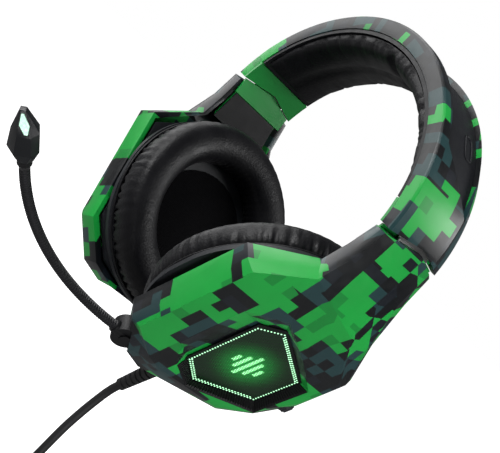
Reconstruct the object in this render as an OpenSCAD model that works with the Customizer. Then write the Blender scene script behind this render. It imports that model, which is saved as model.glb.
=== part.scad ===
// Over-ear gaming headset with a flexible microphone boom and a hanging USB cable.
// Units are millimetres. The origin is the underside of the head cushion at its crown.
// +Z is up, -Y is the wearer's front and +X is the wearer's left.

/* [Headband] */
// Half the width of the band across its outer face
band_half = 93; // [91:0.5:95]
// Height of the band's arc above its own centre
band_rise = 76; // [75:0.5:78]
// Front-to-back width of the band
band_width = 36; // [35:0.5:37]
// Thickness of the head cushion at the crown
pad_thick = 9; // [7:0.5:10]

/* [Arms and cups] */
// Inward lean of each ear cup at rest, in degrees
cup_lean = 31; // [30:0.5:32]
// Depth of each cup shell from its rim to its outer face
cup_depth = 16; // [15.5:0.5:17]
// Wall thickness of the moulded shells
wall = 2.2; // [2:0.1:2.4]
// Width of the steel slider strip
strip_width = 18; // [14:1:20]

/* [Speakers] */
// Radius of the speaker driver
driver_r = 25; // [20:1:25]
// Outer half-width of each ear cushion
cushion_r = 48.6; // [46:0.2:49]
// Extra half-height that makes the ear cushion oval
cushion_oval = 3.4; // [2:0.2:4]
// Depth of each ear cushion
cushion_depth = 17; // [14:1:20]

/* [Microphone] */
// Radius of the boom's curve
boom_curve_r = 117.5; // [112:0.5:124]
// Angle that the boom sweeps through, in degrees
boom_angle = 49; // [46:0.5:53]
// Diameter of the flexible boom
boom_d = 4.4; // [4:0.1:5]

/* [Cable] */
// Diameter of the cable
cord_d = 4; // [3.8:0.1:4.2]
// Mid radius of the tied coil
coil_r = 24; // [23:0.5:26]

/* [Part selection] */
// Sub-part to draw

/* [Hidden] */
$fn = 48;
gap = 0.3;
run_gap = 0.06;
crown_z = 18;
band_mid_z = crown_z - band_rise;
yh = band_width / 2;

// Band layers, as depths below the band's outer curve
frame_in = 6.7;
cap_in = 8.4;
liner_out = 7;
liner_in = 8.8;
pad_out = 9;
pad_in = pad_out + pad_thick;
rail_w = 5.6;
recess_t = 65;
liner_t = 72;
wedge_t = 50;
end_t = 88;
rail_step = 1.2;

// Arm frame: its rim plane leans inward from the band's end
arm_x = 85;
arm_z = -51.6;
arm_lean = 11;
tongue_len = 41.5;
strip_x = 3.2;
strip_t = 0.9;

// Cup frame: centre of the cup's rim plane
cup_x = 53.7;
cup_z = -120.6;
kd = cup_depth / 16;

// Seam between band and arm: a shallow chevron, as [y, z] points
seam = [[-26, -49.9], [-18, -48.5], [2, -45.2], [18, -49.6], [26, -51.8]];
seam_gap = 2.2;

// Arm-and-cup shell rows from the arm's top round the front and bottom and back up the rear.
// Each row holds a rim, a middle and a crest point as [forward, up, outward] in the cup frame.
shell_rows = [
    [[18, 81, -10.8], [18.2, 84.2, -7.6], [17.6, 86.6, -5.4]],
    [[20, 64, -4.4], [20.4, 65.8, 0.8], [19.8, 66.9, 4.5]],
    [[22.3, 52.7, 0], [24, 53, 7.5], [24.2, 53, 12]],
    [[46.4, 34.6, 0], [46.6, 36.4, 10], [45, 38, 16]],
    [[46.5, -27, 0], [46.6, -25.5, 11.5], [45, -22, 16]],
    [[33, -44, 0], [33.5, -42.5, 11.5], [27.5, -33, 16]],
    [[20, -49, 0], [21.5, -46.5, 11.5], [20, -35, 16]],
    [[-28, -49, 0], [-20.5, -39, 11.5], [-15, -33.4, 16]],
    [[-41, -41, 0], [-32.5, -27.5, 11.5], [-25, -24.5, 16]],
    [[-48.5, -25, 0], [-40.5, -10, 9.5], [-32.5, -2, 16]],
    [[-48.5, 14, 0], [-40, 18, 9.5], [-33, 19, 16]],
    [[-33, 37, 0], [-25, 41, 8.5], [-9, 44, 15.4]],
    [[-22, 61, -3], [-15, 63, 2.6], [-4.5, 65, 5.6]],
    [[-18, 81, -10.8], [-13.5, 84, -8], [-3, 86.6, -5.4]]
];
row_n = len(shell_rows);

// Lens outline in the cup frame, as [forward, up] corners
lens_pts = [[14, 14.6], [13.9, -24.4], [2.2, -32.6], [-24.6, -20.2], [-25.2, 4.6], [4.2, 21.1]];
lens_mid = [-3.5, -6];
pocket_pts = [[29, 20], [28, -14.5], [17, -27], [4, -34.2], [-27.5, -22.4], [-28.4, 7.6], [-9.5, 19.5], [13, 30.5]];
lens_x = 10.6 * kd;

// Speaker unit depths in the cup frame
pivot_x = 0.6;
trunnion_r = 2;
flange_out = -4.3;
flange_in = -6.6;
can_r = 28;
can_back = 4;
plate_t = 2.2;
plate_hole_r = 31;
screw_spots = [[38, 26], [38, -20], [-38.5, 20.5], [-32, -32.5]];

// Microphone hub
hub_f = 38;
hub_u = -38.2;
hub_x = 8;
hub_in = 4.6;
hub_out = 10.8;
hub_r = 6.4;
hub_pin_r = 1.5;
boss_reach = 7;
boom_start = 6;
knuckle_r = 1.9;
hub_turn = 38.5;
boom_r = boom_d / 2;
bend_angle = boom_angle / 2;

// Controls on the rear of the left cup
wheel_f = -35;
wheel_u = -12;
wheel_x = 8.2;
wheel_r = 5.6;
wheel_h = 3.4;
switch_u = 7;
switch_x = 5.2;

// Cable route, hand-chosen from the boot to the coil, then from the coil to the plug
boot_f = 12;
boot_x = 7.2;
boot_top = -39.8;
boot_len = 27.2;
boot_end = [cup_x + (boot_top - boot_len) * sin(cup_lean) + boot_x * cos(cup_lean), -boot_f,
            cup_z + (boot_top - boot_len) * cos(cup_lean) - boot_x * sin(cup_lean)];
drop_x = boot_end[0] - 5;
coil_c = [drop_x - coil_r, -14, -287];
cord_route = [
    boot_end, boot_end + [-2.2, -0.1, -4.5], boot_end + [-3.6, -0.3, -9.5], boot_end + [-4.4, -0.7, -15.5],
    boot_end + [-4.9, -1.3, -23], [drop_x, -14, boot_end[2] - 34], [drop_x, -14, boot_end[2] - 50],
    [drop_x, -14, coil_c[2] + 36], [drop_x, -14, coil_c[2] + 20]
];
tail_route = [
    coil_c + [12.5, 4, -29.5], coil_c + [10.6, 3, -34], coil_c + [9.4, 1.5, -40], coil_c + [9, 0, -47],
    coil_c + [9, 0, -56]
];
plug_top = coil_c + [9, 0, -56];

camo = [0.1, 0.5, 0.25];
green = [0.05, 0.55, 0.22];
black = [0.05, 0.05, 0.06];
dark = [0.1, 0.11, 0.12];
steel = [0.6, 0.6, 0.62];

// ---------- helpers ----------

// A point at arc angle t, a depth below the band's outer curve and a front-to-back place
function arc_pt(t, depth, y) =
    [(band_half - depth) * sin(t), y, band_mid_z + (band_rise - depth) * cos(t)];

// Closed solid from rings of equal length, each ring counter-clockwise about the sweep direction
module ring_solid(rings, cap = true) {
    n = len(rings[0]);
    m = len(rings);
    points = [for (r = rings) for (p = r) p];
    last = cap ? m - 2 : m - 1;
    sides = [for (k = [0:last]) for (j = [0:n - 1]) let (k2 = (k + 1) % m, j2 = (j + 1) % n)
        each [[k * n + j, k2 * n + j, k2 * n + j2], [k * n + j, k2 * n + j2, k * n + j2]]];
    ends = cap ? [[for (j = [0:n - 1]) j], [for (j = [n - 1:-1:0]) (m - 1) * n + j]] : [];
    polyhedron(points, concat(sides, ends), convexity = 8);
}

// Front edge of the top recess: it turns rearward near each end
function recess_front(t) =
    -yh + rail_w + (band_width - 2 * rail_w - 2.4) * max(0, (abs(t) - wedge_t) / (recess_t - wedge_t));

// Recess with a diagonal end, shrunk by a margin, between two depths
module recess_sweep(margin, outer, inner) {
    turn = recess_t - margin;
    ring_solid([for (k = [0:60]) let (t = turn * (k / 30 - 1))
        [for (s = box_section(recess_front(t) + margin, yh - rail_w - margin, outer, inner)) arc_pt(t, s[1], s[0])]]);
}

// Sweep a section of [y, depth] corners along the band between two arc angles
module band_sweep(section, t0, t1, steps) {
    ring_solid([for (k = [0:steps]) let (t = t0 + (t1 - t0) * k / steps)
        [for (s = section) arc_pt(t, s[1], s[0])]]);
}

// Box section for a band sweep, from an outer depth to an inner one
function box_section(y0, y1, outer, inner) = [[y0, inner], [y1, inner], [y1, outer], [y0, outer]];

// Keeps what lies above or below the seam between band and arm
module seam_cut(shift, above) {
    far = above ? 80 : -140;
    pts = concat([for (p = seam) [p[0], p[1] - shift]], [[26, far], [-26, far]]);
    for (s = [0, 1])
        mirror([s, 0, 0])
            translate([60, 0, 0])
                rotate([90, 0, 90])
                    linear_extrude(60)
                        polygon(pts);
}

module cup_frame() {
    translate([cup_x, 0, cup_z])
        rotate([0, cup_lean, 0])
            children();
}

module arm_frame() {
    translate([arm_x, 0, arm_z])
        rotate([0, arm_lean, 0])
            children();
}

module right_side() {
    mirror([1, 0, 0])
        children();
}

// Flat plate in the cup frame, from [forward, up] corners
module cup_prism(pts, x0, x1) {
    translate([x0, 0, 0])
        rotate([90, 0, 90])
            linear_extrude(x1 - x0)
                polygon([for (p = pts) [-p[0], p[1]]]);
}

// Oval disc in the cup frame
module cup_oval(r, grow, x0, x1) {
    translate([x0, 0, 0])
        rotate([90, 0, 90])
            linear_extrude(x1 - x0)
                union() {
                    translate([0, grow])
                        circle(r = r);
                    translate([0, -grow])
                        circle(r = r);
                    translate([-r, -grow])
                        square([2 * r, 2 * grow]);
                }
}

module cup_disc(r, x0, x1) {
    translate([x0, 0, 0])
        rotate([0, 90, 0])
            cylinder(r = r, h = x1 - x0);
}

// Shell point moved inward by a wall allowance
function inset_pt(p, w) =
    [p[0] - sign(p[0]) * w, p[1] < -15 ? p[1] + w : p[1] > 30 && p[1] < 45 ? p[1] - w : p[1], p[2]];

// Shell ring at a level (0 rim, 1 middle, 2 crest), inset and shifted outward
function shell_ring(level, w, dx) =
    [for (r = shell_rows) let (p = inset_pt(r[level], w)) [p[2] * kd + dx, -p[0], p[1]]];

// Loft of the shell's three rings; its end faces are strips from front to rear
module shell_loft(w, dx0, dx2) {
    rings = [shell_ring(0, w, dx0), shell_ring(1, w, dx2 / 2), shell_ring(2, w, dx2)];
    n = row_n;
    points = [for (r = rings) for (p = r) p];
    sides = [for (k = [0:1]) for (j = [0:n - 1]) let (j2 = (j + 1) % n)
        each [[k * n + j, (k + 1) * n + j, (k + 1) * n + j2], [k * n + j, (k + 1) * n + j2, k * n + j2]]];
    half = n / 2 - 1;
    base = [for (i = [0:half - 1]) let (a = i, b = i + 1, c = n - 2 - i, d = n - 1 - i)
        each [[a, b, c], [a, c, d]]];
    top = [for (f = base) [f[2] + 2 * n, f[1] + 2 * n, f[0] + 2 * n]];
    polyhedron(points, concat(sides, base, top), convexity = 8);
}

// Shell outline at a small depth, as [forward, up] corners for the cup area only
function plate_pts(x, w) =
    [for (i = [2:row_n - 3]) let (
        a = inset_pt(shell_rows[i][0], w), b = inset_pt(shell_rows[i][1], w), k = x / b[2])
        [a[0] + (b[0] - a[0]) * k, min(48, a[1] + (b[1] - a[1]) * k)]];

// Round tube through route points, swept as one solid
function unit(v) = v / norm(v);
function route_dir(route, i) = unit(route[min(i + 1, len(route) - 1)] - route[max(i - 1, 0)]);
module tube(route, r, sides) {
    ring_solid([for (i = [0:len(route) - 1]) let (
        t = route_dir(route, i), a = unit(cross(t, [0, 1, 0])), b = cross(t, a))
        [for (k = [0:sides - 1]) route[i] + r * (cos(360 * k / sides) * a + sin(360 * k / sides) * b)]]);
}

// ---------- headband ----------

module headband_frame() {
    rear = [yh - 8, 0];
    lip = [yh, 5];
    section = [[-yh, frame_in], [yh, frame_in], lip, rear, [-yh + 1, 0], [-yh, 1]];
    color(camo)
        intersection() {
            difference() {
                ring_solid([for (k = [0:64]) let (t = end_t * (k / 32 - 1), rise = rail_step * min(1, (end_t - abs(t)) / 20))
                    [for (s = section) arc_pt(t, s[1] - (s[1] < 2 ? rise : 0), s[0])]]);
                recess_sweep(0, -4, 12);
                for (s = [0, 1])
                    mirror([s, 0, 0])
                        band_sweep(box_section(-yh + 2.4, yh - 4.4, 1.8, 12), recess_t + 1.6, end_t, 12);
                band_sweep(box_section(-strip_width / 2 - 0.4, strip_width / 2 + 0.4, 4.6, 12),
                    -recess_t - 3, recess_t + 3, 48);
                liner_screw_spots()
                    translate([0, 0, -10])
                        cylinder(r = 1.05, h = 7.2);
            }
            seam_band();
        }
}

// Places of the four screws that hold the liner, under the ends of the cushion; +Z points out of the band
module liner_screw_spots() {
    turn = 62;
    lift = atan2(band_half * cos(turn), band_rise * sin(turn));
    for (s = [0, 1])
        mirror([s, 0, 0])
            for (y = [-15.2, 15.2])
                translate(arc_pt(turn, 0, y))
                    rotate([0, 90 - lift, 0])
                        children();
}

// Space the band may fill: everything above the seam
module seam_band() {
    seam_cut(0, true);
    translate([-61, -30, -80])
        cube([122, 60, 120]);
}

module headband_insert() {
    color(black)
        recess_sweep(0.15, 3.4, 4.9);
}

module headband_liner() {
    color(dark)
        difference() {
            band_sweep(box_section(-yh + 0.4, yh - 0.4, liner_out, liner_in), -liner_t, liner_t, 48);
            liner_screw_spots() {
                translate([0, 0, -12])
                    cylinder(r = 1.2, h = 8);
                translate([0, 0, -12])
                    cylinder(r = 2, h = 12 - liner_in + 0.9);
            }
        }
}

// Spring strip: an arc through the band whose straight ends are the sliders
module headband_spring() {
    half = strip_width / 2;
    turn = 80;
    start_in = 5.4;
    end_in = 3;
    steps = 48;
    arc = [for (k = [0:steps]) let (
        t = turn * (2 * k / steps - 1),
        d = start_in - (start_in - end_in) * max(0, (abs(t) - 63) / (turn - 63)))
        [for (s = box_section(-half, half, d, d + strip_t)) arc_pt(t, s[1], s[0])]];
    color(steel)
        ring_solid(concat(
            [for (z = [-tongue_len, 1.6]) tongue_ring(half, z, -1)], arc,
            [for (z = [1.6, -tongue_len]) tongue_ring(half, z, 1)]));
}

// Section of a slider tongue at a height in the arm frame; side is 1 on the left and -1 on the right
function tongue_ring(half, z, side) =
    [for (s = box_section(-half, half, strip_x + strip_t, strip_x)) [
        side * (arm_x + s[1] * cos(arm_lean) + z * sin(arm_lean)), s[0],
        arm_z - s[1] * sin(arm_lean) + z * cos(arm_lean)]];

// Padded cushion, fullest at the crown and thin at its ends
module head_cushion() {
    steps = 40;
    color(black)
        ring_solid([for (k = [0:steps]) let (
            t = -70 + 140 * k / steps,
            full = max(0.16, pow(cos(t * 90 / 74), 0.45)),
            y = yh - 2.6 + 1.6 * full)
            [for (s = [[-y, 0.1], [-y * 0.96, 0.62], [-y * 0.72, 0.93], [0, 1], [y * 0.72, 0.93], [y * 0.96, 0.62],
                [y, 0.1], [y * 0.9, 0], [-y * 0.9, 0]])
                arc_pt(t, pad_out + (pad_in - pad_out) * full * s[1], s[0])]]);
}

module end_cap() {
    color(green)
        intersection() {
            band_sweep(box_section(-yh, yh, frame_in + 0.15, cap_in), liner_t + 0.6, end_t, 8);
            seam_cut(0, true);
        }
}

module left_end_cap() {
    end_cap();
}

module right_end_cap() {
    right_side()
        end_cap();
}

module headband_screws() {
    color(steel)
        liner_screw_spots()
            translate([0, 0, -liner_in + 0.1])
                union() {
                    cylinder(r = 1.8, h = 0.7);
                    cylinder(r = 1, h = 5.6);
                }
}

// Thin wire that crosses the band beside the spring
module headband_wire() {
    color(black)
        tube([for (k = [0:40]) let (t = -63 + 126 * k / 40) arc_pt(t, 5.95, 10.9)], 0.5, 8);
}

// ---------- arm and cup ----------

module shell(left) {
    color(camo)
        difference() {
            intersection() {
                cup_frame()
                    shell_loft(0, 0, 0);
                union() {
                    seam_cut(seam_gap, false);
                    translate([-10, -60, -200])
                        cube([71, 120, 190]);
                    translate([-10, -60, -200])
                        cube([120, 120, 125]);
                }
            }
            difference() {
                cup_frame()
                    shell_loft(wall, -0.5, -wall);
                arm_frame()
                    translate([-30, -40, -2.6])
                        cube([60, 80, 20]);
                cup_frame()
                    hull() {
                        cup_prism(lens_outline(1.16), lens_x - wall, lens_x);
                        cup_prism([for (p = pocket_pts) lens_mid + (p - lens_mid) * 1.06], 16 * kd + 1, 16 * kd + 2);
                    }
                cup_frame()
                    screw_places(plate_t + 0.1, 20)
                        circle(r = 2.3);
            }
            cup_frame()
                screw_places(-1, 5.2)
                    circle(r = 1.15);
            arm_frame() {
                translate([strip_x - gap, -strip_width / 2 - 0.4, -8])
                    cube([strip_t + 2 * gap, strip_width + 0.8, 20]);
                translate([strip_x - 1.4, -strip_width / 2 - 0.4, 0.8])
                    cube([strip_t + 1.8, strip_width + 0.8, 12]);
                translate([2.3, -15, -4])
                    cube([2.8, 3.3, 10]);
            }
            cup_frame() {
                hull() {
                    cup_prism(lens_pts, lens_x - 0.2, lens_x);
                    cup_prism(pocket_pts, 16 * kd + 0.1, 16 * kd + 0.4);
                }
                cup_prism(lens_outline(1.06), 4, lens_x + 1.2);
                if (left)
                    left_cutouts();
            }
        }
}

// Openings that only the left cup has
module left_cutouts() {
    translate([0, -hub_f, hub_u]) {
        hub_disc(hub_r + 0.7, 2, 12);
        hub_disc(8.2, hub_in, hub_x + 3.5);
    }
    translate([wheel_x, -wheel_f, wheel_u - wheel_h / 2 - 0.5])
        cylinder(r = wheel_r + 0.5, h = wheel_h + 1);
    translate([switch_x - 1.9, 36, switch_u - 3.4])
        cube([3.8, 12, 8.8]);
    translate([boot_x, -boot_f, -60])
        cylinder(r = 3.6, h = 20);
}

module left_shell() {
    shell(true);
}

module right_shell() {
    right_side()
        shell(false);
}

// Green inner face of the arm, set into the shell's open side, with a lip that reaches up to the seam
module arm_trim() {
    color(green)
        union() {
            arm_plate(0, 1.8, [[-15.4, -2.9], [14.2, -2.9], [16.4, -21], [-17.4, -21]]);
            arm_plate(-0.4, 0.4, [[-15.2, -5.6], [14, -5.6], [14, -3.2], [-15.2, -3.2]]);
            intersection() {
                arm_plate(-1.3, -0.1, [[-16.6, -5.6], [16.6, -5.6], [16.6, 10], [-16.6, 10]]);
                seam_cut(0.5, false);
            }
        }
}

// Flat plate in the arm frame, from [rearward, up] corners
module arm_plate(x0, x1, pts) {
    arm_frame()
        translate([x0, 0, 0])
            rotate([90, 0, 90])
                linear_extrude(x1 - x0)
                    polygon(pts);
}

module left_arm_trim() {
    arm_trim();
}

module right_arm_trim() {
    right_side()
        arm_trim();
}

// Flat black cover that lies on the arm trim
module arm_cover() {
    color(black)
        arm_plate(-1.1, -0.1, [[-15.6, -6], [13.8, -6], [16.6, -22], [-17.6, -22]]);
}

module left_arm_cover() {
    arm_cover();
}

module right_arm_cover() {
    right_side()
        arm_cover();
}

// Guide block that the steel strip slides through
module slider_guide() {
    color(green)
        arm_frame()
            difference() {
                union() {
                    translate([0, 0, -14.5])
                        linear_extrude(8)
                            polygon([[2, -12], [5.4, -12], [5.4, 6.8], [4.3, 11.4], [2, 11.4]]);
                    translate([2, -12, -19.5])
                        cube([0.9, 23.4, 5.2]);
                    translate([2.6, -14.7, -12])
                        cube([2.2, 2.8, 14.4]);
                }
                translate([strip_x - 0.08, -strip_width / 2 - 0.15, -30])
                    cube([strip_t + 0.16, strip_width + 0.3, 60]);
            }
}

module left_slider_guide() {
    slider_guide();
}

module right_slider_guide() {
    right_side()
        slider_guide();
}

// Plate that closes the cup and carries the speaker's trunnion bearings
module cup_plate() {
    color(dark)
        cup_frame()
            difference() {
                union() {
                    cup_prism(plate_pts(plate_t, wall + 1.5), 0, plate_t);
                    for (s = [-1, 1])
                        translate([-2.4, s * 34.5 - 2.5, -4])
                            cube([5.6, 5, 8]);
                }
                cup_disc(plate_hole_r, -6, 6);
                translate([pivot_x, -40, 0])
                    rotate([-90, 0, 0])
                        cylinder(r = trunnion_r + run_gap, h = 80);
                screw_places(-1, 6)
                    circle(r = 1.2);
            }
}

// Cylinders of the child's outline at the four cup screws
module screw_places(x0, x1) {
    for (p = screw_spots)
        translate([x0, -p[0], p[1]])
            rotate([0, 90, 0])
                linear_extrude(x1 - x0)
                    children();
}

module left_cup_plate() {
    cup_plate();
}

module right_cup_plate() {
    right_side()
        cup_plate();
}

module cup_screws() {
    color(steel)
        cup_frame()
            union() {
                screw_places(-1.1, 0)
                    circle(r = 2);
                screw_places(-0.5, 4.6)
                    circle(r = 1.1);
            }
}

module left_screws() {
    cup_screws();
}

module right_screws() {
    right_side()
        cup_screws();
}

// Lens outline scaled about its middle
function lens_outline(k) = [for (p = lens_pts) lens_mid + (p - lens_mid) * k];

// Narrow frame round the lens
module bezel() {
    color(black)
        cup_frame()
            difference() {
                cup_prism(lens_outline(1.055), lens_x - 2.2, lens_x + 1.2);
                cup_prism(lens_outline(1.005), lens_x - 3, 20);
            }
}

module left_bezel() {
    bezel();
}

module right_bezel() {
    right_side()
        bezel();
}

// Thin grille lens
module lens() {
    color(black)
        cup_frame()
            cup_prism(lens_pts, lens_x, lens_x + 1.4);
}

module left_lens() {
    lens();
}

module right_lens() {
    right_side()
        lens();
}

module diffuser() {
    color([0.8, 0.9, 0.8])
        cup_frame()
            cup_prism(lens_outline(0.98), lens_x - 1.9, lens_x - 0.1);
}

module left_diffuser() {
    diffuser();
}

module right_diffuser() {
    right_side()
        diffuser();
}

// Light board with small square lamps
module light_board() {
    color([0.1, 0.3, 0.2])
        cup_frame()
            union() {
                cup_prism(lens_outline(0.9), lens_x - 3.6, lens_x - 2.6);
                for (f = [-16, -5, 6])
                    for (u = [-14, -2])
                        translate([lens_x - 2.8, -f - 1.5, u - 1.5])
                            cube([0.7, 3, 3]);
            }
}

module left_light_board() {
    light_board();
}

module right_light_board() {
    right_side()
        light_board();
}

// ---------- speaker unit ----------

// Housing: flange, back can and two trunnions on the tilt axis
module housing() {
    color(dark)
        cup_frame()
            difference() {
                union() {
                    cup_oval(cushion_r - 0.8, cushion_oval, flange_in, flange_out);
                    cup_disc(can_r, flange_out - 0.5, can_back);
                    translate([pivot_x, -36, 0])
                        rotate([-90, 0, 0])
                            cylinder(r = trunnion_r, h = 72);
                }
                cup_disc(driver_r + 0.2, flange_in - 1, can_back - 1.6);
            }
}

module left_housing() {
    housing();
}

module right_housing() {
    right_side()
        housing();
}

// Moving-coil driver: basket rim, cone and magnet
module driver() {
    color(steel)
        cup_frame()
            union() {
                difference() {
                    cup_disc(driver_r, flange_in + 0.6, flange_in + 3);
                    translate([flange_in - 0.4, 0, 0])
                        rotate([0, 90, 0])
                            cylinder(r1 = driver_r - 2, r2 = driver_r - 14, h = 2.4);
                }
                cup_disc(driver_r - 5, flange_in + 3, flange_in + 5.5);
                cup_disc(driver_r - 13, flange_in + 5.5, flange_in + 8.6);
            }
}

module left_driver() {
    driver();
}

module right_driver() {
    right_side()
        driver();
}

// Cloth disc stretched over the driver inside the ear cushion
module driver_cover() {
    color(black)
        cup_frame()
            cup_disc(driver_r + 1.6, flange_in - 0.9, flange_in - 0.05);
}

module left_driver_cover() {
    driver_cover();
}

module right_driver_cover() {
    right_side()
        driver_cover();
}

// Oval ring cushion with a rounded section
module ear_cushion() {
    steps = 40;
    mid_r = cushion_r - 10.8;
    half_w = 10.8;
    back = flange_in - 0.05;
    profile = [[-0.78, 0], [0.62, 0], [0.92, 0.14], [1, 0.42], [0.9, 0.76], [0.55, 0.97], [0.05, 1], [-0.5, 0.9],
        [-0.88, 0.62], [-0.96, 0.3]];
    color(black)
        cup_frame()
            ring_solid([for (k = [0:steps - 1]) let (a = 360 * k / steps)
                [for (p = profile) let (r = mid_r + half_w * p[0])
                    [back - cushion_depth * p[1], r * cos(a), (r + cushion_oval) * sin(a)]]], false);
}

module left_ear_cushion() {
    ear_cushion();
}

module right_ear_cushion() {
    right_side()
        ear_cushion();
}

// ---------- controls in the left cup ----------

// Control board at the rear: a flat board, a standing one with the wheel's pin, and the switch body
module control_board() {
    color([0.1, 0.3, 0.2])
        cup_frame()
            union() {
                translate([3.5, 30, -8.6])
                    cube([1.2, 8, 24]);
                translate([3.5, 30, -8.6])
                    cube([6.5, 6.4, 1.2]);
                translate([wheel_x - 2.6, 33, -9.4])
                    cube([3.6, 3.2, 1]);
                translate([wheel_x, -wheel_f, wheel_u - wheel_h / 2 - 0.8])
                    cylinder(r = 1, h = wheel_h + 1.8);
                translate([4.5, 30.6, 3.4])
                    cube([3, 7.3, 8]);
            }
}

module volume_wheel() {
    notch_n = 18;
    color(dark)
        cup_frame()
            translate([wheel_x, -wheel_f, wheel_u - wheel_h / 2])
                difference() {
                    cylinder(r = wheel_r, h = wheel_h);
                    translate([0, 0, -1])
                        cylinder(r = 1 + run_gap, h = wheel_h + 2);
                    for (i = [0:notch_n - 1])
                        rotate(i * 360 / notch_n)
                            translate([wheel_r + 0.25, 0, -1])
                                cylinder(r = 0.6, h = wheel_h + 2, $fn = 16);
                }
}

// Slide switch knob with a grip rib
module mute_switch() {
    color(dark)
        cup_frame()
            union() {
                translate([switch_x - 1.5, 38.4, switch_u - 2.9])
                    cube([3, 4.4, 4]);
                translate([switch_x - 1.5, 42.4, switch_u - 1.4])
                    cube([3, 0.9, 1]);
            }
}

// ---------- microphone ----------

// Frame of the hub: its pin runs outward through the origin
module hub_place() {
    cup_frame()
        translate([0, -hub_f, hub_u])
            children();
}

module hub_disc(r, x0, x1) {
    translate([x0, 0, 0])
        rotate([0, 90, 0])
            cylinder(r = r, h = x1 - x0);
}

// Cheek inside the cup's lower front corner, with the headed pin that the hub turns on
module mic_mount() {
    color(black)
        hub_place()
            union() {
                hub_disc(hub_r - 0.6, 2.4, hub_in - 0.3);
                hub_disc(hub_pin_r, 3, 11.3);
                hub_disc(2.5, hub_out + 0.3, 11.8);
                rotate([hub_turn, 0, 0])
                    translate([2.4, 0, -4.4])
                        cube([hub_in - 2.7, 13, 8.8]);
                rotate([hub_turn, 0, 0])
                    translate([2.4, 10.6, -5.4])
                        cube([7, 2.4, 10.8]);
            }
}

// Turning hub with the boom's socket
module mic_hub() {
    color(black)
        hub_place()
            difference() {
                union() {
                    hub_disc(hub_r, hub_in, hub_out);
                    translate([hub_x, 0, 0])
                        rotate([90, 0, 0])
                            cylinder(r = 3.1, h = boss_reach);
                }
                hub_disc(hub_pin_r + run_gap, 0, 2 * hub_x);
                translate([hub_x, -3.2, 0])
                    rotate([90, 0, 0])
                        cylinder(r = boom_r + 0.04, h = 10);
            }
}

// Boom tube between two angles of its arc; the arc heads forward from the hub and curves up
module boom_arc(a0, a1) {
    hub_place()
        translate([hub_x, -boom_start, boom_curve_r])
            rotate([0, 90, 0])
                rotate([0, 0, -a1])
                    rotate_extrude(angle = a1 - a0, $fn = 96)
                        translate([boom_curve_r, 0])
                            circle(r = boom_r, $fn = 16);
}

// Place something at an angle along the boom, its +Z along the boom
module along_boom(a) {
    hub_place()
        translate([hub_x, -boom_start - boom_curve_r * sin(a), boom_curve_r * (1 - cos(a))])
            rotate([90 - a, 0, 0])
                children();
}

// Lower half of the boom, ended by the round knuckle that the upper half bends on
module mic_boom_lower() {
    color(black)
        union() {
            boom_arc(-1.2, bend_angle - 0.3);
            along_boom(bend_angle)
                rotate([0, 90, 0])
                    translate([0, 0, -1.8])
                        cylinder(r = knuckle_r, h = 3.6);
        }
}

module mic_boom_upper() {
    color(black)
        difference() {
            boom_arc(bend_angle + 0.3, boom_angle - 0.15);
            along_boom(bend_angle)
                rotate([0, 90, 0])
                    translate([0, 0, -4])
                        cylinder(r = knuckle_r + run_gap, h = 8);
        }
}

module mic_collar() {
    color(black)
        along_boom(boom_angle)
            difference() {
                translate([0, 0, -1])
                    cylinder(r = 2.9, h = 3);
                translate([0, 0, -2])
                    cylinder(r = boom_r + 0.04, h = 2);
            }
}

// Faceted microphone head, hollow for the capsule
module mic_head() {
    color(dark)
        along_boom(boom_angle)
            translate([0, 0, 2.05])
                difference() {
                    hull() {
                        head_slice(0, [[3.4, -1.4], [3.4, 1.4], [1.4, 3.4], [-1.4, 3.4], [-3.4, 1.4], [-3.4, -1.4],
                            [-1.4, -3.4], [1.4, -3.4]]);
                        head_slice(4.5, [[4.6, -3.4], [4.6, 3], [1, 5.4], [-4.2, 4.4], [-4.2, -4.4], [0, -6.8]]);
                        head_slice(13, [[3.4, -2.6], [3.6, 2.4], [0.5, 5.2], [-4.4, 4.2], [-4.4, -4.2], [-1, -5.6]]);
                        head_slice(21.5, [[-1.2, -2.6], [-1.2, -0.4], [-3.4, -0.4], [-3.4, -2.6]]);
                    }
                    translate([0, -0.4, 3.2])
                        cylinder(r = 3.12, h = 6.2);
                    translate([-9, 0.3, 6.1])
                        rotate([0, 90, 0])
                            cylinder(r = 1.8, h = 7.6);
                    window_place()
                        linear_extrude(4)
                            polygon([[-3.9, -1.95], [0.5, -2.3], [3.9, 0], [3.9, 1.4], [0.5, 1.7], [-3.9, -0.85]]);
                }
}

module head_slice(z, pts) {
    translate([0, 0, z])
        linear_extrude(0.2)
            polygon(pts);
}

// Sloping facet near the head's tip, where the lit window sits
module window_place() {
    translate([1.1, 0, 17.2])
        rotate([0, 61.6, 0])
            translate([0, 0, -0.8])
                children();
}

module mic_window() {
    color([0.7, 1, 0.85])
        along_boom(boom_angle)
            translate([0, 0, 2.05])
                window_place()
                    translate([0, 0, 0.1])
                        linear_extrude(1)
                            polygon([[-3.7, -1.8], [0.5, -2.15], [3.7, 0.1], [3.7, 1.25], [0.5, 1.5], [-3.7, -1]]);
}

module mic_capsule() {
    color(steel)
        along_boom(boom_angle)
            translate([0, -0.4, 5.4])
                cylinder(r = 3, h = 5.8);
}

// ---------- cable ----------

// Strain relief boot: a collar inside the cup's underside, then a grooved sleeve
module cable_boot() {
    groove_n = 6;
    collar_h = 1.4;
    first = 8.8;
    color(black)
        cup_frame()
            translate([boot_x, -boot_f, boot_top])
                rotate([180, 0, 0])
                    rotate_extrude($fn = 32)
                        polygon(concat(
                            [[0, 0], [4.1, 0], [4.1, collar_h], [3.3, collar_h]],
                            [for (i = [0:groove_n - 1]) each [[3.3 - 0.08 * i, first + 3 * i], [2.3, first + 3 * i],
                                [2.3, first + 1 + 3 * i], [3.25 - 0.08 * i, first + 1 + 3 * i]]],
                            [[2.8, boot_len], [0, boot_len]]));
}

module cable() {
    color(black)
        tube(smooth_route(cord_route, 3), cord_d / 2, 8);
}

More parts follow.
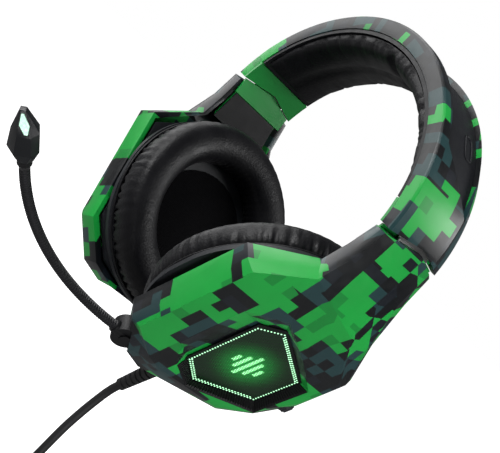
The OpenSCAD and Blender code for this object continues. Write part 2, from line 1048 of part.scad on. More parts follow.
// Round a route by Catmull-Rom steps between its points
function smooth_pt(a, b, c, d, s) =
    0.5 * (2 * b + (c - a) * s + (2 * a - 5 * b + 4 * c - d) * s * s + (3 * b - a - 3 * c + d) * s * s * s);
function smooth_route(r, m) = let (n = len(r) - 1)
    concat([for (i = [0:n - 1]) for (k = [0:m - 1])
        smooth_pt(r[max(i - 1, 0)], r[i], r[i + 1], r[min(i + 2, n)], k / m)], [r[n]]);

module cable_coil() {
    color(black)
        translate(coil_c)
            rotate([90, 0, 0])
                rotate_extrude($fn = 64)
                    translate([coil_r - 8, -7])
                        square([16, 14]);
}

module cable_tie() {
    color(dark)
        translate(coil_c)
            translate([0, 0, -coil_r])
                difference() {
                    cube([6, 16.8, 19.2], center = true);
                    cube([8, 14.4, 17], center = true);
                }
}

module cable_tail() {
    color(black)
        tube(smooth_route(tail_route, 3), cord_d / 2, 8);
}

module plug_grip() {
    color(black)
        translate(plug_top)
            union() {
                translate([0, 0, -7])
                    cylinder(r1 = 3.4, r2 = 2.4, h = 7.2, $fn = 32);
                translate([-7.6, -3.8, -31])
                    cube([15.2, 7.6, 24.2]);
            }
}

// Metal shell of the plug, a hollow box with a tongue
module plug_shell() {
    color(steel)
        translate(plug_top)
            difference() {
                translate([-6, -2.25, -45])
                    cube([12, 4.5, 14]);
                translate([-5.6, -1.85, -46])
                    cube([11.2, 1.9, 12]);
            }
}

headband_frame();
headband_insert();
headband_liner();
headband_spring();
head_cushion();
left_end_cap();
right_end_cap();
headband_screws();
headband_wire();
left_shell();
left_arm_trim();
left_arm_cover();
left_slider_guide();
left_cup_plate();
left_bezel();
left_lens();
left_diffuser();
left_light_board();
left_screws();
left_housing();
left_driver();
left_driver_cover();
left_ear_cushion();
right_shell();
right_arm_trim();
right_arm_cover();
right_slider_guide();
right_cup_plate();
right_bezel();
right_lens();
right_diffuser();
right_light_board();
right_screws();
right_housing();
right_driver();
right_driver_cover();
right_ear_cushion();
control_board();
volume_wheel();
mute_switch();
mic_mount();
mic_hub();
mic_boom_lower();
mic_boom_upper();
mic_collar();
mic_head();
mic_window();
mic_capsule();
cable_boot();
cable();
cable_coil();
cable_tie();
cable_tail();
plug_grip();
plug_shell();
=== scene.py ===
import bpy
import bmesh
import math
import random
import numpy as np
from mathutils import Matrix, Vector


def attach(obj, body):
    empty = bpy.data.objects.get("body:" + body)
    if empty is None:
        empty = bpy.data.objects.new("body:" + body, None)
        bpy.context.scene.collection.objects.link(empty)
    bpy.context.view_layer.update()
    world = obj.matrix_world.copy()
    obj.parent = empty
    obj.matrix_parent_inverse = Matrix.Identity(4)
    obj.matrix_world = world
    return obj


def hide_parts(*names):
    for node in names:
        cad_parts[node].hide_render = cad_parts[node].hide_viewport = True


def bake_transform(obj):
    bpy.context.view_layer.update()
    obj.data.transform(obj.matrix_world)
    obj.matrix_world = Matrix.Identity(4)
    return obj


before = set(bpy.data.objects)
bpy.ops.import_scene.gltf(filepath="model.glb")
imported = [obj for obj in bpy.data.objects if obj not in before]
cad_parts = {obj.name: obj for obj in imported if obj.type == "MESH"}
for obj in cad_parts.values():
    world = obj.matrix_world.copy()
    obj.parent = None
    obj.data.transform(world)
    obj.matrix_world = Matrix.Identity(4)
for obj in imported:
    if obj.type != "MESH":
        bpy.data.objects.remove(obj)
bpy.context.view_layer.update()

# ---------------------------------------------------------------- frames shared with the CAD
LEAN = math.radians(31)
CUP = Vector((0.0537, 0, -0.1206))
BAND_A, BAND_B, BAND_Z = 0.093, 0.076, -0.058
# radius, in millimetres, that turns an angle round the band into a distance
BAND_MEAN_R = 88.0


def cup(d, f, u, side=1):
    """A point in a cup's own frame, in millimetres: outward, forward, up."""
    x = CUP.x + (d * math.cos(LEAN) + u * math.sin(LEAN)) / 1000
    z = CUP.z + (u * math.cos(LEAN) - d * math.sin(LEAN)) / 1000
    return Vector((side * x, -f / 1000, z))


def arc(t, depth, y):
    """A point on the band: angle from the crown, depth below its outer curve, front-to-back place."""
    a = math.radians(t)
    x = (BAND_A - depth / 1000) * math.sin(a)
    z = BAND_Z + (BAND_B - depth / 1000) * math.cos(a)
    return Vector((x, y / 1000, z))


# ---------------------------------------------------------------- camera
cam_data = bpy.data.cameras.new("camera")
cam = bpy.data.objects.new("camera", cam_data)
bpy.context.scene.collection.objects.link(cam)
right = Vector((0.317, 0.6403, 0.6996))
up = Vector((-0.4315, -0.5596, 0.7076))
back = Vector((0.8446, -0.5262, 0.0989))
cam.matrix_world = Matrix((
    (right.x, up.x, back.x, 0.4849), (right.y, up.y, back.y, -0.3082),
    (right.z, up.z, back.z, -0.0372), (0, 0, 0, 1)))
cam_data.sensor_width = 36
cam_data.lens = 91.04
cam_data.clip_start = 0.01
cam_data.clip_end = 50
bpy.context.scene.camera = cam


# ---------------------------------------------------------------- small helpers
def link(ob):
    bpy.context.scene.collection.objects.link(ob)
    return ob


def mesh_object(name, verts, faces, material=None, smooth=True):
    me = bpy.data.meshes.new(name)
    me.from_pydata([tuple(v) for v in verts], [], faces)
    me.update()
    if smooth:
        me.polygons.foreach_set("use_smooth", [True] * len(me.polygons))
    ob = link(bpy.data.objects.new(name, me))
    if material:
        me.materials.append(material)
    return ob


def curve_object(name, points, radius, material, resolution=5):
    cu = bpy.data.curves.new(name, "CURVE")
    cu.dimensions = "3D"
    cu.bevel_depth = radius
    cu.bevel_resolution = resolution
    cu.use_fill_caps = True
    sp = cu.splines.new("POLY")
    sp.points.add(len(points) - 1)
    for p, q in zip(sp.points, points):
        p.co = (*q, 1)
    ob = link(bpy.data.objects.new(name, cu))
    cu.materials.append(material)
    return ob


def catmull(points, steps):
    out = []
    n = len(points)
    for i in range(n - 1):
        a, b, c, d = points[max(i - 1, 0)], points[i], points[i + 1], points[min(i + 2, n - 1)]
        for k in range(steps):
            s = k / steps
            out.append(0.5 * (2 * b + (c - a) * s + (2 * a - 5 * b + 4 * c - d) * s * s
                              + (3 * b - a - 3 * c + d) * s ** 3))
    out.append(points[-1])
    return out


class Nodes:
    """A short way to build shader nodes."""

    def __init__(self, name):
        self.mat = bpy.data.materials.new(name)
        self.mat.use_nodes = True
        self.tree = self.mat.node_tree
        self.tree.nodes.clear()
        self.out = self.tree.nodes.new("ShaderNodeOutputMaterial")
        self.shader = self.tree.nodes.new("ShaderNodeBsdfPrincipled")
        self.tree.links.new(self.shader.outputs[0], self.out.inputs[0])
        self.place = self.tree.nodes.new("ShaderNodeTexCoord").outputs["Object"]

    def put(self, socket, value):
        if isinstance(value, bpy.types.NodeSocket):
            self.tree.links.new(value, socket)
        else:
            socket.default_value = value

    def math(self, op, a, b=None, c=None):
        n = self.tree.nodes.new("ShaderNodeMath")
        n.operation = op
        for i, v in enumerate((a, b, c)):
            if v is not None:
                self.put(n.inputs[i], v)
        return n.outputs[0]

    def vec(self, op, a, b=None):
        n = self.tree.nodes.new("ShaderNodeVectorMath")
        n.operation = op
        self.put(n.inputs[0], a)
        if b is not None:
            self.put(n.inputs[1], b)
        return n.outputs["Value"] if op in ("DOT_PRODUCT", "LENGTH", "DISTANCE") else n.outputs[0]

    def split(self, v):
        n = self.tree.nodes.new("ShaderNodeSeparateXYZ")
        self.put(n.inputs[0], v)
        return n.outputs

    def join(self, x, y, z):
        n = self.tree.nodes.new("ShaderNodeCombineXYZ")
        for i, v in enumerate((x, y, z)):
            self.put(n.inputs[i], v)
        return n.outputs[0]

    def noise(self, v, scale, detail=2.0, rough=0.5):
        n = self.tree.nodes.new("ShaderNodeTexNoise")
        self.put(n.inputs["Vector"], v)
        n.inputs["Scale"].default_value = scale
        n.inputs["Detail"].default_value = detail
        n.inputs["Roughness"].default_value = rough
        return n.outputs["Fac"]

    def cells(self, v, scale):
        n = self.tree.nodes.new("ShaderNodeTexVoronoi")
        self.put(n.inputs["Vector"], v)
        n.inputs["Scale"].default_value = scale
        return n.outputs["Distance"]

    def ramp(self, fac, stops, constant=False):
        n = self.tree.nodes.new("ShaderNodeValToRGB")
        n.color_ramp.interpolation = "CONSTANT" if constant else "LINEAR"
        while len(n.color_ramp.elements) < len(stops):
            n.color_ramp.elements.new(0.5)
        for e, (pos, col) in zip(n.color_ramp.elements, stops):
            e.position = pos
            e.color = (*col, 1) if len(col) == 3 else col
        self.put(n.inputs[0], fac)
        return n.outputs[0]

    def map(self, v, lo, hi, to_lo=0.0, to_hi=1.0, smooth=False):
        n = self.tree.nodes.new("ShaderNodeMapRange")
        n.interpolation_type = "SMOOTHSTEP" if smooth else "LINEAR"
        self.put(n.inputs[0], v)
        for i, x in enumerate((lo, hi, to_lo, to_hi)):
            n.inputs[i + 1].default_value = x
        return n.outputs[0]

    def mix(self, fac, a, b):
        n = self.tree.nodes.new("ShaderNodeMix")
        n.data_type = "RGBA"
        self.put(n.inputs[0], fac)
        self.put(n.inputs[6], a if not isinstance(a, tuple) else (*a, 1))
        self.put(n.inputs[7], b if not isinstance(b, tuple) else (*b, 1))
        return n.outputs[2]

    def bump(self, height, strength, distance=0.0002):
        n = self.tree.nodes.new("ShaderNodeBump")
        n.inputs["Strength"].default_value = strength
        n.inputs["Distance"].default_value = distance
        self.put(n.inputs["Height"], height)
        self.put(self.shader.inputs["Normal"], n.outputs[0])

    def set(self, **values):
        for key, v in values.items():
            self.put(self.shader.inputs[key.replace("_", " ")], v)
        return self.mat

    def in_cup(self, side):
        """Object coordinates turned into millimetres outward, forward, up in a cup."""
        s = self.split(self.place)
        x = self.math("MULTIPLY_ADD", s[0], 1000.0 * side, -1000 * CUP.x)
        z = self.math("MULTIPLY_ADD", s[2], 1000.0, -1000 * CUP.z)
        cos, sin = math.cos(LEAN), math.sin(LEAN)
        d = self.math("SUBTRACT", self.math("MULTIPLY", x, cos), self.math("MULTIPLY", z, sin))
        u = self.math("ADD", self.math("MULTIPLY", x, sin), self.math("MULTIPLY", z, cos))
        f = self.math("MULTIPLY", s[1], -1000.0)
        return self.join(d, f, u)

    def on_band(self):
        """Object coordinates turned into millimetres round the band, forward, and through it."""
        s = self.split(self.place)
        z = self.math("SUBTRACT", s[2], BAND_Z)
        angle = self.math("ARCTAN2", s[0], z)
        around = self.math("MULTIPLY", angle, BAND_MEAN_R)
        f = self.math("MULTIPLY", s[1], -1000.0)
        depth = self.math("MULTIPLY", self.vec("LENGTH", self.join(s[0], 0.0, z)), 1000.0)
        return self.join(around, f, depth)


def plastic(name, colour, rough=0.45, grain=0.25, scale=2600, vary=0.25, spec=0.3, coat=0.0):
    """Moulded plastic: fine spark texture, slow colour change and rubbed patches."""
    n = Nodes(name)
    slow = n.noise(n.place, 35, 3)
    c0 = tuple(x * (1 - vary) for x in colour)
    c1 = tuple(min(1, x * (1 + vary) + 0.002) for x in colour)
    col = n.mix(slow, c0, c1)
    rub = n.noise(n.place, 160, 4, 0.7)
    r = n.map(rub, 0.3, 0.75, rough - 0.07, rough + 0.1)
    n.bump(n.noise(n.place, scale, 2, 0.6), grain, 0.00015)
    return n.set(Base_Color=col, Roughness=r, Specular_IOR_Level=spec, Coat_Weight=coat)


GREEN_LIT = (0.010, 0.40, 0.055)
GREEN_DARK = (0.006, 0.27, 0.04)
TEAL = (0.014, 0.048, 0.052)
NAVY = (0.006, 0.008, 0.013)
BLACK = (0.002, 0.0025, 0.004)


def camo(name, place, cell, patches, offset, level=0.5):
    """Digital camouflage: noise and a few soft patches read on a coarse cubic grid."""
    n = Nodes(name)
    p = place(n)
    snapped = n.vec("SNAP", n.vec("ADD", p, offset), (cell, cell, cell))
    centre = n.vec("ADD", snapped, (cell / 2, cell / 2, cell / 2))
    own = n.vec("SUBTRACT", centre, offset)
    low = n.noise(centre, 0.042, 1, 0.4)
    mid = n.noise(n.vec("ADD", centre, (37.0, 91.0, 13.0)), 0.12, 1, 0.5)
    fine = n.noise(n.vec("ADD", centre, (7.0, 3.0, 53.0)), 0.31, 0, 0.5)
    green = n.math("ADD", n.math("MULTIPLY", low, 0.5), n.math("MULTIPLY", mid, 0.42))
    green = n.math("ADD", green, n.math("MULTIPLY", fine, 0.56))
    for at, radius, weight in patches:
        gap = n.vec("DISTANCE", own, at)
        green = n.math("ADD", green, n.map(gap, 0.35 * radius, radius, weight, 0.0))
    tone = n.math("ADD", n.noise(n.vec("ADD", centre, (61.0, 29.0, 83.0)), 0.075, 1, 0.5),
                  n.math("MULTIPLY", fine, 0.22))
    darks = n.ramp(tone, [(0.0, BLACK), (0.57, NAVY), (0.62, TEAL), (0.72, BLACK)], True)
    shade = n.noise(n.vec("ADD", centre, (17.0, 5.0, 71.0)), 0.09, 1, 0.5)
    greens = n.ramp(shade, [(0.0, GREEN_DARK), (0.38, GREEN_LIT)], True)
    is_green = n.math("GREATER_THAN", green, level + 0.25)
    col = n.mix(is_green, darks, greens)
    dirt = n.noise(n.place, 90, 4, 0.6)
    col = n.mix(n.map(dirt, 0.35, 0.8, 0.0, 0.12), col, (0.006, 0.02, 0.018))
    rub = n.noise(n.place, 220, 3, 0.7)
    n.bump(n.noise(n.place, 2400, 2, 0.6), 0.18, 0.00012)
    return n.set(Base_Color=col, Roughness=n.map(rub, 0.3, 0.75, 0.3, 0.4), Specular_IOR_Level=0.5)


def leatherette(name, tint=1.0):
    n = Nodes(name)
    slow = n.noise(n.place, 30, 3)
    dark = tuple(x * tint for x in (0.003, 0.003, 0.004))
    pale = tuple(x * tint for x in (0.007, 0.007, 0.009))
    col = n.mix(slow, dark, pale)
    pores = n.cells(n.place, 900)
    grain = n.math("ADD", n.math("MULTIPLY", pores, 0.9), n.math("MULTIPLY", n.noise(n.place, 2200, 3), 0.5))
    n.bump(grain, 0.35, 0.00025)
    r = n.map(n.noise(n.place, 120, 3), 0.3, 0.7, 0.36, 0.52)
    return n.set(Base_Color=col, Roughness=r, Specular_IOR_Level=0.22, Sheen_Weight=0.02, Sheen_Roughness=0.5)


def brushed(name, colour, rough=0.3, stretch=(40.0, 2500.0, 40.0), vary=0.2):
    n = Nodes(name)
    lines = n.noise(n.vec("MULTIPLY", n.place, stretch), 1.0, 3, 0.6)
    col = n.mix(lines, tuple(x * (1 - vary) for x in colour), colour)
    n.bump(lines, 0.12, 0.0001)
    return n.set(Base_Color=col, Metallic=1.0, Roughness=n.map(lines, 0.2, 0.8, rough - 0.08, rough + 0.12))


def cloth(name, colour, scale=1400.0):
    n = Nodes(name)
    s = n.split(n.place)
    a = n.math("SINE", n.math("MULTIPLY", n.math("ADD", s[0], s[2]), scale * 2))
    b = n.math("SINE", n.math("MULTIPLY", s[1], scale * 2))
    weave = n.math("MULTIPLY", a, b)
    thread = n.noise(n.place, 1800, 2)
    col = n.mix(n.map(weave, -1, 1), tuple(x * 0.5 for x in colour), colour)
    n.bump(n.math("ADD", weave, thread), 0.5, 0.0003)
    return n.set(Base_Color=col, Roughness=0.9, Sheen_Weight=0.03, Specular_IOR_Level=0.06)


def rubber(name, colour=(0.011, 0.011, 0.012), rough=0.55, scale=1500):
    n = Nodes(name)
    slow = n.noise(n.place, 60, 3)
    col = n.mix(slow, tuple(x * 0.7 for x in colour), tuple(x * 1.4 for x in colour))
    n.bump(n.noise(n.place, scale, 3, 0.6), 0.25, 0.0002)
    r = n.map(n.noise(n.place, 200, 3), 0.3, 0.7, rough - 0.08, rough + 0.1)
    return n.set(Base_Color=col, Roughness=r, Specular_IOR_Level=0.4)


# ---------------------------------------------------------------- materials
M = {
    "black": plastic("black_moulding", (0.004, 0.004, 0.005), 0.5, 0.35),
    "dark": plastic("dark_moulding", (0.02, 0.022, 0.026), 0.48, 0.3),
    "liner": plastic("liner_moulding", (0.006, 0.0065, 0.008), 0.42, 0.25),
    "insert": plastic("insert_matt", (0.006, 0.007, 0.01), 0.6, 0.5, 1900),
    "green": plastic("green_moulding", (0.006, 0.3, 0.045), 0.34, 0.1, 1800, 0.18, 0.5, 0.2),
    "mic": plastic("mic_moulding", (0.008, 0.009, 0.011), 0.36, 0.15),
    "gloss": plastic("gloss_black", (0.004, 0.005, 0.006), 0.2, 0.06, 1200, 0.2, 0.5, 0.4),
    "leather": leatherette("ear_leatherette"),
    "head_leather": leatherette("head_leatherette", 0.9),
    "steel": brushed("spring_steel", (0.5, 0.5, 0.5), 0.32),
    "screw": brushed("screw_steel", (0.16, 0.16, 0.17), 0.35, (900.0, 900.0, 60.0)),
    "plug": brushed("plug_metal", (0.62, 0.62, 0.6), 0.25),
    "driver": brushed("driver_metal", (0.4, 0.4, 0.42), 0.35),
    "cord": rubber("cord_jacket"),
    "boom": rubber("boom_rubber", (0.009, 0.009, 0.011), 0.5),
    "cloth": cloth("driver_cloth", (0.004, 0.004, 0.005), 4200.0),
    "board": plastic("circuit_board", (0.012, 0.07, 0.03), 0.4, 0.2, 900),
    "diffuser": plastic("milky_diffuser", (0.5, 0.75, 0.55), 0.5, 0.1),
}


# ---------------------------------------------------------------- cable, tie and plug
BOOT_TOP, BOOT_LEN, BOOT_X, BOOT_F = -39.8, 27.2, 7.2, 12.0
boot_end = cup(BOOT_X, BOOT_F, BOOT_TOP - BOOT_LEN)
COIL_R = 0.024
# the hanging run lies this far inward of the boot's end, at this front-to-back place
DROP_X = boot_end.x - 0.005
DROP_Y = -0.014
coil_c = Vector((DROP_X - COIL_R, DROP_Y, -0.287))
WIRE = 0.002


def off(base, x, y, z):
    return base + Vector((x, y, z)) / 1000


def ease(t):
    """Smooth step from 0 to 1."""
    return t * t * (3 - 2 * t)


drop = [
    boot_end,
    off(boot_end, -2.2, -0.1, -4.5),
    off(boot_end, -3.6, -0.3, -9.5),
    off(boot_end, -4.4, -0.7, -15.5),
    off(boot_end, -4.9, -1.3, -23),
    Vector((DROP_X, DROP_Y, boot_end.z - 0.034)),
    Vector((DROP_X, DROP_Y, boot_end.z - 0.05)),
    Vector((coil_c.x + COIL_R, DROP_Y, coil_c.z + 0.036)),
    Vector((coil_c.x + COIL_R, DROP_Y - 0.0005, coil_c.z + 0.022))]
# radius and layer of each turn, in millimetres; a turn eases into the next over its last part
turn_plan = [(18, -4.1), (22.1, -4.1), (26.2, -4.1), (30.3, -4.1), (30.3, 0), (26.2, 0), (22.1, 0), (18, 0),
             (18, 4.1), (22.1, 4.1), (26.2, 4.1), (30.3, 4.1)]
PER_TURN = 30
LAST_TURN_DEG = 50
EASE_FROM, LEAD_IN = 0.72, 0.3
coil_pts = []
for k, (radius, layer) in enumerate(turn_plan):
    nxt = turn_plan[min(k + 1, len(turn_plan) - 1)]
    count = PER_TURN if k < len(turn_plan) - 1 else int(PER_TURN * LAST_TURN_DEG / 360) + 1
    for i in range(count):
        s = i / PER_TURN
        e = ease(max(0.0, (s - EASE_FROM) / (1 - EASE_FROM)))
        r = radius + (nxt[0] - radius) * e
        y = layer + (nxt[1] - layer) * e
        if k == 0 and s < LEAD_IN:
            q = ease(s / LEAD_IN)
            r = 1000 * COIL_R + (radius - 1000 * COIL_R) * q
            y = layer * q
        a = -2 * math.pi * s
        coil_pts.append(coil_c + Vector((r * math.cos(a), y, r * math.sin(a))) / 1000)
tail = [
    off(coil_c, 12.5, 4, -29.6),
    off(coil_c, 10.6, 3, -34),
    off(coil_c, 9.4, 1.5, -40),
    off(coil_c, 9, 0, -47),
    off(coil_c, 9, 0, -57)]
cord_pts = catmull(drop, 4)[:-1] + coil_pts + catmull(tail, 3)
cable = curve_object("usb_cable", cord_pts, WIRE, M["cord"], 4)
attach(cable, "left_arm")
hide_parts("cable", "cable_coil", "cable_tail")
plug_top = off(coil_c, 9, 0, -56)


def rounded_box(name, centre, size, radius, material, segments=4):
    bm = bmesh.new()
    bmesh.ops.create_cube(bm, size=1)
    for v in bm.verts:
        v.co = Vector((v.co.x * size[0], v.co.y * size[1], v.co.z * size[2])) + Vector(centre)
    bmesh.ops.bevel(bm, geom=bm.edges[:], offset=radius, segments=segments, affect="EDGES", profile=0.5)
    me = bpy.data.meshes.new(name)
    bm.to_mesh(me)
    bm.free()
    me.polygons.foreach_set("use_smooth", [True] * len(me.polygons))
    ob = link(bpy.data.objects.new(name, me))
    me.materials.append(material)
    return ob


def lathe(name, profile, place, material, segments=40):
    """Revolve [radius, height] pairs about +Z of a placement matrix."""
    verts, faces = [], []
    n = len(profile)
    for i in range(segments):
        a = 2 * math.pi * i / segments
        for r, h in profile:
            verts.append(place @ Vector((r * math.cos(a), r * math.sin(a), h)))
    for i in range(segments):
        j = (i + 1) % segments
        for k in range(n - 1):
            faces.append((i * n + k, j * n + k, j * n + k + 1, i * n + k + 1))
    ob = mesh_object(name, verts, faces, material)
    bm = bmesh.new()
    bm.from_mesh(ob.data)
    bmesh.ops.remove_doubles(bm, verts=bm.verts, dist=1e-7)
    bmesh.ops.recalc_face_normals(bm, faces=bm.faces)
    bm.to_mesh(ob.data)
    bm.free()
    return ob


def face_outward(ob):
    """Turn every face of a closed mesh outward."""
    bm = bmesh.new()
    bm.from_mesh(ob.data)
    bmesh.ops.recalc_face_normals(bm, faces=bm.faces)
    bm.to_mesh(ob.data)
    bm.free()


def crease(ob, angle=30):
    """Keep edges sharper than the angle crisp while the rest shades smoothly."""
    me = ob.data
    bm = bmesh.new()
    bm.from_mesh(me)
    for e in bm.edges:
        if len(e.link_faces) == 2 and e.calc_face_angle(0) > math.radians(angle):
            e.smooth = False
    for f in bm.faces:
        f.smooth = True
    bm.to_mesh(me)
    bm.free()
    return ob


grip_size = (0.0152, 0.0076, 0.0238)
grip = rounded_box("plug_grip_body", off(plug_top, 0, 0, -18.9), grip_size, 0.0018, M["cord"])
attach(grip, "left_arm")
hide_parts("plug_grip")
neck_profile = [(0.0, 0.0002), (0.0024, 0.0002)]
for i in range(4):
    z = -0.0012 - 0.0015 * i
    neck_profile += [(0.0025 + 0.0002 * i, z + 0.0006), (0.0022 + 0.0002 * i, z + 0.0004),
                     (0.0022 + 0.0002 * i, z), (0.0026 + 0.0002 * i, z - 0.0002)]
neck_profile += [(0.0034, -0.0074), (0, -0.0074)]
neck = lathe("plug_neck", neck_profile, Matrix.Translation(plug_top), M["cord"], 32)
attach(neck, "left_arm")
for s in (-1, 1):
    for k in range(5):
        rib = rounded_box("plug_rib_%d_%d" % (s, k), off(plug_top, 0, s * 3.75, -12 - 2.6 * k),
                          (0.009, 0.0007, 0.001), 0.0003, M["cord"], 2)
        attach(rib, "left_arm")
tie_verts, tie_faces = [], []
TIE_N = 36
for i in range(TIE_N):
    a = 2 * math.pi * i / TIE_N
    cx, cz = math.cos(a), math.sin(a)
    k = 1 / max(abs(cx) ** 4 + abs(cz) ** 4, 1e-6) ** 0.25
    for w, t in ((-3, 0), (3, 0), (3, 0.9), (-3, 0.9)):
        tie_verts.append(coil_c + Vector((w, (6.6 + t) * cx * k, -24.1 + (8.4 + t) * cz * k)) / 1000)
for i in range(TIE_N):
    j = (i + 1) % TIE_N
    for k in range(4):
        tie_faces.append((i * 4 + k, i * 4 + (k + 1) % 4, j * 4 + (k + 1) % 4, j * 4 + k))
tie = crease(mesh_object("cable_strap", tie_verts, tie_faces, M["cloth"]))
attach(tie, "left_arm")
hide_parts("cable_tie")


# ---------------------------------------------------------------- CAD nodes that keep their shape
KEEP = {
    "headband_insert": "insert", "headband_liner": "liner", "headband_spring": "steel",
    "headband_screws": "screw", "headband_wire": "cord", "left_end_cap": "green", "right_end_cap": "green",
    "control_board": "board", "volume_wheel": "dark", "mute_switch": "dark", "mic_mount": "black",
    "mic_hub": "black", "mic_collar": "black", "mic_capsule": "driver", "cable_boot": "cord",
    "plug_shell": "plug",
}
for s in ("left_", "right_"):
    KEEP.update({
        s + "arm_trim": "green", s + "arm_cover": "black", s + "slider_guide": "green",
        s + "cup_plate": "dark", s + "bezel": "black", s + "diffuser": "diffuser",
        s + "light_board": "board", s + "screws": "screw", s + "housing": "dark",
        s + "driver": "driver", s + "driver_cover": "cloth"})
for node, key in KEEP.items():
    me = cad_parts[node].data
    me.materials.clear()
    me.materials.append(M[key])


def rounded_copy(name, node, body, width, material, angle=22, shortest=0.0025):
    """A copy of a CAD node with its long edges rounded, standing for that node."""
    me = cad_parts[node].data.copy()
    ob = link(bpy.data.objects.new(name, me))
    bm = bmesh.new()
    bm.from_mesh(me)
    bmesh.ops.remove_doubles(bm, verts=bm.verts, dist=2e-6)
    bmesh.ops.dissolve_limit(bm, angle_limit=math.radians(0.6), verts=bm.verts, edges=bm.edges)
    picked = [e for e in bm.edges if len(e.link_faces) == 2 and e.calc_face_angle(0) > math.radians(angle)
              and e.calc_length() > shortest]
    bmesh.ops.bevel(bm, geom=picked, offset=width, segments=3, affect="EDGES", profile=0.5,
                    clamp_overlap=True, loop_slide=True)
    bmesh.ops.triangulate(bm, faces=[f for f in bm.faces if len(f.verts) > 4])
    bm.to_mesh(me)
    bm.free()
    me.materials.clear()
    me.materials.append(material)
    crease(ob, 35)
    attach(ob, body)
    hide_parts(node)
    return ob


# ---------------------------------------------------------------- camouflage shells and band
# size of one camouflage block, in millimetres
BLOCK = 5.4
# each entry is a place, a reach and how strongly it turns green (+) or dark (-), all in millimetres;
# a place is outward, forward, up in a cup, and round, forward, outward on the band
left_patches = [
    ((10, 46, 15), 26, 0.3), ((4, 36, 44), 17, 0.27), ((6, 30, 52), 12, 0.27), ((16, 37, -18), 15, 0.36),
    ((16, 34, 34), 14, 0.36), ((8, 4, 60), 13, 0.34), ((14, 2, 42), 14, 0.36), ((14, -28, 4), 13, 0.5),
    ((12, -22, -22), 10, 0.36), ((0, 5, 76), 9, 0.5), ((16, 37, 22), 10, -0.5),
    ((6, 46, 32), 8, -0.5), ((15, 26, -2), 13, -0.5), ((12, 18, 51), 11, -0.45),
    ((2, 20, 68), 18, -0.36), ((16, -20, 26), 14, -0.36), ((12, 30, -38), 15, -0.4), ((5, -8, 64), 11, -0.5),
    ((15, 6, -36), 11, -0.36), ((4, 47, -18), 14, -0.4), ((10, -36, 20), 16, -0.5)]
right_patches = [((6, 46, 20), 18, 0.4), ((6, 46, -24), 14, 0.35), ((6, 44, 0), 11, -0.5),
                 ((2, 14, 66), 22, -0.4)]
band_patches = [((112, 8, 88), 18, 0.34), ((118, -13, 88), 13, -0.5), ((-114, 4, 88), 22, 0.36),
                ((93, -15, 82), 9, 0.5), ((88, 14, 82), 10, -0.4)]
M["camo_left"] = camo("camo_left", lambda n: n.in_cup(1), BLOCK, left_patches, (13.0, 4.0, 21.0))
M["camo_right"] = camo("camo_right", lambda n: n.in_cup(-1), BLOCK, right_patches, (43.0, 64.0, 9.0))
M["camo_band"] = camo("camo_band", lambda n: n.on_band(), BLOCK, band_patches, (3.0, 2.7, 71.0), 0.6)
rounded_copy("left_arm_shell", "left_shell", "left_arm", 0.0006, M["camo_left"])
rounded_copy("right_arm_shell", "right_shell", "right_arm", 0.0006, M["camo_right"])
rounded_copy("band_frame", "headband_frame", "headband", 0.0004, M["camo_band"])
for s in (-1, 1):
    loop = []
    for k in range(48):
        a = 2 * math.pi * k / 48
        c, w = math.cos(a), math.sin(a)
        k2 = (abs(c) ** 3.2 + abs(w) ** 3.2) ** (-1 / 3.2)
        loop.append(arc(s * (41 + 4.6 * c * k2), 3.25, 6.5 + 2.2 * w * k2))
    rim_name = "insert_loop_" + ("left" if s > 0 else "right")
    rim = curve_object(rim_name, loop + [loop[0]], 0.0005, M["insert"], 3)
    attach(rim, "headband")


# ---------------------------------------------------------------- upholstery
def ring_grid(rings, closed):
    """Vertices and quads of a swept closed section."""
    n, m = len(rings[0]), len(rings)
    verts = [p for r in rings for p in r]
    faces = []
    for k in range(m if closed else m - 1):
        k2 = (k + 1) % m
        for j in range(n):
            j2 = (j + 1) % n
            faces.append((k * n + j, k2 * n + j, k2 * n + j2, k * n + j2))
    if not closed:
        faces.append(tuple(range(n)))
        faces.append(tuple((m - 1) * n + j for j in reversed(range(n))))
    return verts, faces


def inflate(ob, held, pressure, frames, cap):
    """Swell a closed piece as cloth over foam; held is the weight of each vertex, 1 where a seam holds it."""
    rest = np.array([v.co for v in ob.data.vertices])
    group = ob.vertex_groups.new(name="seam")
    for i, w in enumerate(held):
        if w > 0:
            group.add([i], w, "REPLACE")
    mod = ob.modifiers.new("cloth", "CLOTH")
    st = mod.settings
    st.quality = 6
    st.mass = 0.25
    st.tension_stiffness = st.compression_stiffness = 22
    st.shear_stiffness = 12
    st.bending_stiffness = 1.2
    st.use_pressure = True
    st.uniform_pressure_force = pressure
    st.vertex_group_mass = "seam"
    st.effector_weights.gravity = 0
    mod.collision_settings.use_self_collision = False
    mod.collision_settings.use_collision = False
    mod.point_cache.frame_start = 1
    mod.point_cache.frame_end = frames
    for fnum in range(1, frames + 1):
        bpy.context.scene.frame_set(fnum)
    deps = bpy.context.evaluated_depsgraph_get()
    new = np.array([v.co for v in ob.evaluated_get(deps).data.vertices])
    ob.modifiers.remove(mod)
    ob.vertex_groups.clear()
    bpy.context.scene.frame_set(1)
    move = new - rest
    size = np.linalg.norm(move, axis=1, keepdims=True)
    move *= np.minimum(1, cap / np.maximum(size, 1e-9))
    ob.data.vertices.foreach_set("co", (rest + move).astype(np.float32).ravel())
    ob.data.update()


